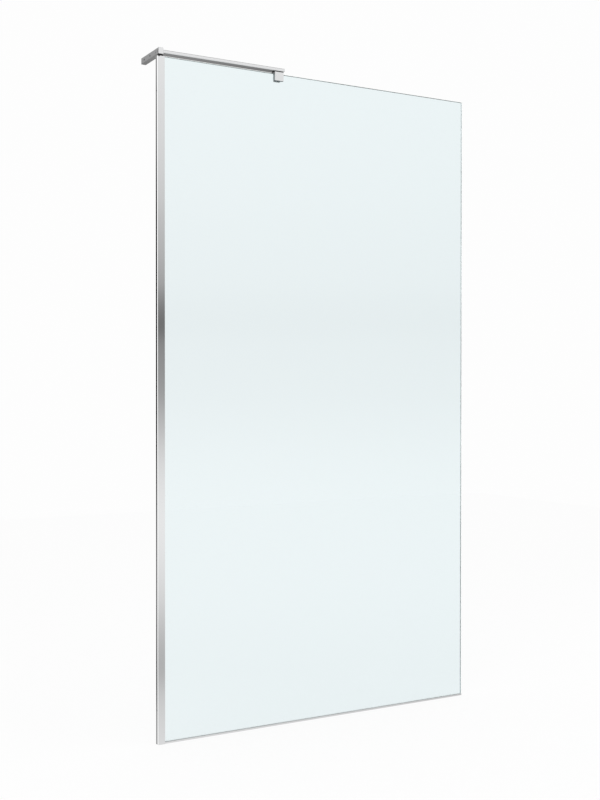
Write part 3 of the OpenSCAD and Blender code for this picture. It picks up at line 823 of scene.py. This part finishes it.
# %% [markdown]
# ## Wall channel and sliding profile
#
# The channel is a bright extruded U. Its screw holes and the slots of the profile inside it are exact in
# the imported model, so both are dressed copies. The photograph shows a thin bright line between the
# channel's dark side and its front. That is the mark of a corner that starts as a gentle slope, so the
# packed round corner is pressed into such a curve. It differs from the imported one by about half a
# millimetre at most.

# %% The channel's corner
CORNER_R = 3 * MM
CURVE_WIDE = 1.8 * MM
CURVE_DEEP = 5.2 * MM
CURVE_POWER = 1.4
channel_front = box_of("wall_channel")[0][1]


def flatter_corner(points):
    """Turns the channel's round corner beside the wall into a flatter curve, CURVE_WIDE by CURVE_DEEP.

    With s = 1 - x / wide, a point of the corner moves to y = front + deep * (1 - (1 - s ** p) ** (1 / p)).
    A power p of 2 would give a quarter of an ellipse, and 1 a straight chamfer.
    """
    x, y, z = points.T
    middle = channel_front + CORNER_R
    off_arc = np.abs(np.hypot(x - CORNER_R, y - middle) - CORNER_R)
    on_corner = (off_arc < TOUCH) & (x < CORNER_R) & (y < middle + TOUCH)
    share = np.clip(1 - x / CURVE_WIDE, 0, 1)
    curve = channel_front + CURVE_DEEP * (1 - (1 - share ** CURVE_POWER) ** (1 / CURVE_POWER))
    print("corner points", int(on_corner.sum()))
    return np.stack([x, np.where(on_corner, curve, y), z], axis=1)


# %% Channel, profile and plugs
dressed("wall_channel", "channel_extrusion", WALL_SIDE, CHROME_UP, SAWN_EDGE, flatter_corner)
dressed("glass_profile", "sliding_profile", PANEL, SATIN, SAWN_EDGE)
# Painted shade: the top pad's black stands in for the shadow in the gap under the leg.
dressed("channel_top_plug", "channel_top_shade_pad", WALL_SIDE, BLACK_PLASTIC_AND_SHADE, MOULDED_EDGE)
dressed("channel_bottom_plug", "channel_foot_plug", WALL_SIDE, BLACK_PLASTIC_AND_SHADE, MOULDED_EDGE)

# %% [markdown]
# ## Gaskets
#
# A wedge of clear vinyl is pushed in on each side of the glass. Its lip covers the end of the profile's
# flange and bulges a little. The outline is drawn once, for the rear, and mirrored for the front. A
# mirrored outline runs the other way round, so its order is turned back, or the faces would point inwards.

# %% The two gaskets
LIP_DEPTH = 0.8 * MM
PROFILE_WALL = 1.1 * MM


def mirrored(ring, side):
    """The outline itself for side 1, and its mirror image in the second coordinate for side -1."""
    return ring if side > 0 else (ring * np.array([1, -1]))[::-1]


def gasket_shape(node, side):
    """Wedge against the glass with a rounded lip over the flange end, drawn in (x, y)."""
    low, high = box_of(node)
    near, far = sorted(abs(np.array([low[1], high[1]])))
    near += TOUCH
    pocket = box_of("glass_profile")[1][1] - PROFILE_WALL
    lip = high[0] - LIP_DEPTH
    corners = [(low[0], near), (high[0], near), (high[0], pocket), (high[0] - LIP_DEPTH / 2, far),
               (lip + TOUCH, far), (lip + TOUCH, pocket - TOUCH), (low[0], pocket - TOUCH)]
    radii = np.array([0.3, 0.35, 0.4, 0.3, 0.1, 0.1, 0.5]) * MM
    return carry(mirrored(outline(corners, radii), side), low[2], high[2], SMALL_EDGE, "z")


for name, node, side in (("front_gasket", "gasket_front", -1), ("rear_gasket", "gasket_rear", 1)):
    piece(name, [gasket_shape(node, side)], PANEL, CLEAR_VINYL, [node])

# %% [markdown]
# ## Blocks that carry the glass
#
# Glass never touches metal. Small nylon blocks keep its edge off the profile and carry its weight in the
# rail. Such blocks are moulded with shallow grooves across them, so that water can drain past.

# %% Edge blocks and setting blocks
GROOVE_PITCH = 6 * MM
GROOVE_HALF = GROOVE_PITCH / 8
GROOVE_DEPTH = 0.35 * MM


def grooved_strip(low, high):
    """Outline of a strip from its low to its high corner, with shallow square grooves in its lower side."""
    count = int((high[0] - low[0]) / GROOVE_PITCH)
    middles = low[0] + (np.arange(count) + 0.5) * (high[0] - low[0]) / count
    along = middles[:, None] + GROOVE_HALF * np.array([-1, -1, 1, 1])
    upright = np.broadcast_to(low[1] + GROOVE_DEPTH * np.array([0, 1, 1, 0]), along.shape)
    grooves = np.stack([along.ravel(), upright.ravel()], axis=1)
    return np.concatenate([[low], grooves, [(high[0], low[1]), high, (low[0], high[1])]])


def edge_block(low, high):
    """A block on the profile's web, with grooves on the side of the web, drawn in (z, x)."""
    ring = grooved_strip((low[2], low[0]), (high[2], high[0] - TOUCH))
    return carry(ring, low[1] + TOUCH, high[1] - TOUCH, SMALL_EDGE, "y")


def setting_block(low, high):
    """A block on the rail's floor, with grooves under it, drawn in (x, z) and then turned to (z, x)."""
    ring = grooved_strip((low[0], low[2]), (high[0], high[2] - TOUCH))
    return carry(ring[::-1, ::-1], low[1] + TOUCH, high[1] - TOUCH, SMALL_EDGE, "y")


piece("glass_edge_blocks", [edge_block(*span) for span in boxes_along("edge_blocks", 2)],
      PANEL, NYLON, ["edge_blocks"])
piece("glass_setting_blocks", [setting_block(*span) for span in boxes_along("setting_blocks", 0)],
      PANEL, NYLON, ["setting_blocks"])

# %% [markdown]
# ## Bottom rail
#
# The rail is a small U that the glass stands in, with a lower wall behind, where water drains over it. Its
# section is drawn in (y, z), counter-clockwise: out along the floor, up the rear wall, down into the
# pocket, across and up the front wall. The rear seal ends level with its wall. The front seal ends in a
# bead above the rail, which is the dark line in the photograph.

# %% The rail and its seals
RAIL_WALL = 1.3 * MM
RAIL_FLOOR = 1.3 * MM
RAIL_R = 0.5 * MM
BEAD_SET_BACK = 0.2 * MM

rail_low, rail_high = box_of("bottom_rail")
rail_out = rail_high[1]
rail_in = rail_out - RAIL_WALL
rail_top = rail_high[2]
rear_top = box_of("rail_gasket_rear")[1][2]


def rail_section(inside, floor, inner_r):
    """The rail's section, or its end cap's: a U with a low rear wall, open between -inside and inside."""
    corners = [(-rail_out, 0), (rail_out, 0), (rail_out, rear_top), (inside, rear_top),
               (inside, floor), (-inside, floor), (-inside, rail_top), (-rail_out, rail_top)]
    return outline(corners, [RAIL_R] * 3 + [inner_r] * 4 + [RAIL_R])


rail_ring = rail_section(rail_in, RAIL_FLOOR, 0.3 * MM)
piece("rail_extrusion", [carry(rail_ring, rail_low[0], rail_high[0], SAWN_EDGE, "x")],
      PANEL, CHROME_ALONG, ["bottom_rail"])


def front_seal():
    """A tongue between glass and rail with a soft bead on top, drawn for the rear and then mirrored."""
    low, high = box_of("rail_gasket_front")
    near = -high[1] + TOUCH
    bead = rail_out - BEAD_SET_BACK
    foot = low[2] + TOUCH
    corners = [(near, foot), (rail_in - TOUCH, foot), (rail_in - TOUCH, rail_top + TOUCH),
               (bead, rail_top + TOUCH), (bead, (rail_top + high[2]) / 2),
               (rail_in - BEAD_SET_BACK, high[2]), (near, high[2])]
    radii = np.array([0.2, 0.2, 0.1, 0.2, 0.3, 0.4, 0.2]) * MM
    ring = (outline(corners, radii) * np.array([-1, 1]))[::-1]
    return carry(ring, low[0], high[0], SMALL_EDGE, "x")


def rear_seal():
    """A plain strip between the glass and the rear wall, with softened edges."""
    low, high = box_of("rail_gasket_rear")
    return slab(low + (0, TOUCH, TOUCH), high - (0, TOUCH, 0), 0.2 * MM, SMALL_EDGE, "x")


piece("front_rail_seal", [front_seal()], PANEL, GREY_VINYL, ["rail_gasket_front"])
piece("rear_rail_seal", [rear_seal()], PANEL, GREY_VINYL, ["rail_gasket_rear"])

# %% [markdown]
# The end cap is a plate with a notch for the glass, and a tongue that is pressed into the rail under the
# glass.

# %% The rail's end cap
CAP_CLEAR = 0.1 * MM
CAP_WELD = 0.3 * MM
CAP_EDGE = 0.2 * MM

cap_low, cap_high = box_of("rail_end_cap")
plate_back = rail_high[0]
notch = glass_high[1] + CAP_CLEAR
shelf = glass_low[2] - CAP_CLEAR
tongue_side = glass_high[1] - CAP_CLEAR
cap_plate = carry(rail_section(notch, shelf, 0.2 * MM), plate_back, cap_high[0], CAP_EDGE, "x")
cap_tongue = slab((cap_low[0], -tongue_side, RAIL_FLOOR),
                  (plate_back + CAP_WELD, tongue_side, shelf - CAP_CLEAR / 2), 0.3 * MM, CAP_EDGE, "x")
piece("rail_end_plug", [cap_plate, cap_tongue], PANEL, CHROME_CAST, ["rail_end_cap"])

# %% [markdown]
# ## The stabiliser
#
# The leg is a drawn tube that lies on the wall, closed by a plate at each end. The arm is a solid flat bar.
# The tube, the bar and the filler block have drilled and countersunk holes, so they are dressed copies. The
# end plates are rounded rectangles, carried through their thickness with a softened edge.

# %% Leg, arm and filler block
LEG_R = 0.8 * MM
LEG_WALL = 1.85 * MM
LEG_CAP_T = 1.5 * MM
LEG_CAP_EDGE = 0.35 * MM
BAR_EDGE = 0.2 * MM

dressed("leg_tube", "leg_drawn_tube", WALL_SIDE, CHROME_BACK, SAWN_EDGE)
dressed("arm_bar", "arm_flat_bar", WALL_SIDE, CHROME_ALONG, BAR_EDGE)
dressed("corner_block", "leg_filler_block", WALL_SIDE, SATIN, SMALL_EDGE)


def leg_end(node, side):
    """An end plate and the plug behind it; side is -1 for the near end and 1 for the far end."""
    low, high = box_of(node)
    plate_low, plate_high = low.copy(), high.copy()
    plug_low = low + (LEG_WALL, 0, LEG_WALL)
    plug_high = high - (LEG_WALL, 0, LEG_WALL)
    if side < 0:
        plate_high[1] = low[1] + LEG_CAP_T
        plug_low[1] = plate_high[1] - CAP_WELD
    else:
        plate_low[1] = high[1] - LEG_CAP_T
        plug_high[1] = plate_low[1] + CAP_WELD
    return [slab(plate_low, plate_high, LEG_R, LEG_CAP_EDGE, "y"),
            slab(plug_low, plug_high, LEG_R, CAP_EDGE, "y")]


for name, node, side in (("leg_near_plate", "leg_cap_near", -1), ("leg_far_plate", "leg_cap_far", 1)):
    piece(name, leg_end(node, side), WALL_SIDE, CHROME_CAST, [node])

# %% [markdown]
# ## Plugs and caps
#
# The screwdriver holes in the leg are closed by small domed plugs, and the lock screws by domed caps. A
# dome is a quarter ellipse: at an angle a, the radius is the rim's radius * cos a, and the height rises
# with sin a.

# %% Domed plugs and caps
RIM_R = 5.5 * MM
RIM_T = 0.25 * MM
STEM_R = 4.45 * MM
LOCK_CAP_WALL = 1.2 * MM
LOCK_CAP_HOLLOW = 2.2 * MM
LOCK_CAP_DOME = 0.9 * MM
DOME_STEPS = 8


def dome_rows(base, top, radius):
    """Stations of a quarter ellipse from its base up to its pole."""
    angle = np.linspace(0, math.pi / 2, DOME_STEPS)
    heights = base + (top - base) * np.sin(angle)
    return [(height, share * radius, 0) for height, share in zip(heights, np.cos(angle))]


def leg_plug(low, high, seat):
    """A stem in the hole and a domed rim on the tube, turned round X."""
    middle = (low + high) / 2
    stations = [(low[0], 0, 0), (low[0], STEM_R - RIM_T, 0), (low[0] + RIM_T, STEM_R, 0),
                (seat, STEM_R, 0), (seat, RIM_R, 0), *dome_rows(seat + RIM_T, high[0], RIM_R)]
    return turned(*rings(stations), (0, middle[1], middle[2]), X)


def lock_cap(low, high):
    """A hollow cap over a screw head, turned round Y: its cavity first, then its outside up to the dome."""
    middle = (low + high) / 2
    outer = (high[0] - low[0]) / 2
    inner = outer - LOCK_CAP_WALL
    roof = low[1] + LOCK_CAP_HOLLOW
    stations = [(roof, 0, 0), (roof, inner, 0), (low[1], inner, 0), (low[1], outer, 0),
                *dome_rows(high[1] - LOCK_CAP_DOME, high[1], outer)]
    return turned(*rings(stations), (middle[0], 0, middle[2]), Y)


leg_face = box_of("leg_tube")[1][0]
piece("leg_snap_plugs", [leg_plug(*span, leg_face) for span in boxes_along("leg_plugs", 1)],
      WALL_SIDE, CHROME_CAST, ["leg_plugs"])
piece("lock_snap_caps", [lock_cap(*span) for span in boxes_along("lock_screw_caps", 2)],
      WALL_SIDE, CHROME_CAST, ["lock_screw_caps"])

# %% [markdown]
# ## Screws
#
# All the screws take a hexagonal key. The corner bolts and the clamp bolts are countersunk, the lock screws
# have a plain round head, and the grub screws have no head at all, so their head is as wide as their shank.
# Length and head come from the box of each screw's solid, and the other sizes from its thread.

# %% All the screws
LOCK = dict(shank=1.5 * MM, head_height=2.0 * MM, cone=False, socket=(2 * MM, 1.2 * MM), pitch=0.5 * MM)
CORNER = dict(shank=2.4 * MM, head_height=2.3 * MM, cone=True, socket=(3 * MM, 1.6 * MM), pitch=0.8 * MM)
CLAMP = dict(shank=1.95 * MM, head_height=2.0 * MM, cone=True, socket=(2.5 * MM, 1.4 * MM), pitch=0.7 * MM)
GRUB = dict(shank=2.5 * MM, head_height=1.0 * MM, cone=True, socket=(2.5 * MM, 2.0 * MM), pitch=0.8 * MM)


def screws(name, node, row, direction, size):
    """One piece with all the screws of a node, in a row along one axis. Direction runs from tip to head."""
    along = int(np.argmax(np.abs(direction)))
    across = 0 if along else 1
    shapes = []
    for low, high in boxes_along(node, row):
        tip = (low + high) / 2
        tip[along] = low[along] if direction[along] > 0 else high[along]
        profile = screw(high[along] - low[along], (high[across] - low[across]) / 2, **size)
        shapes.append(turned(*profile, tip, direction))
    return piece(name, shapes, WALL_SIDE, STEEL, [node])


screws("lock_screw_set", "lock_screws", 2, Y, LOCK)
screws("corner_bolt_set", "corner_bolts", 1, -X, CORNER)
screws("clamp_bolt_set", "clamp_bolts", 1, Z, CLAMP)
screws("grub_screw_set", "clamp_grub_screws", 0, Y, GRUB)

# %% [markdown]
# ## The clamp
#
# The fork that holds the glass is machined from a block and chromed. A soft liner lies between it and the
# glass, a steel plate spreads the force of the grub screws, and a rubber pad fills the gap under the arm.
# The pad is black as painted shade: its colour stands in for the shadow in that gap.

# %% Clamp pieces
FORK_EDGE = 0.35 * MM

dressed("clamp_block", "clamp_fork", WALL_SIDE, CHROME_CAST, FORK_EDGE)
# Painted shade: the pad's black stands in for the shadow in the gap under the arm.
dressed("clamp_spacer", "clamp_shade_pad", WALL_SIDE, SHADE_BLACK_RUBBER, MOULDED_EDGE)
dressed("clamp_liner", "clamp_soft_liner", WALL_SIDE, CLEAR_VINYL, SMALL_EDGE)
dressed("clamp_pressure_plate", "clamp_steel_plate", WALL_SIDE, STEEL, SMALL_EDGE)

# %% [markdown]
# ## Last checks
#
# Every node of the imported model now has its own finished piece. The nodes that are still shown get printed.

# %% Finish
left_over = sorted(name for name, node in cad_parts.items() if not node.hide_render)
print("pieces", len(made_pieces), "nodes left as they are", left_over)
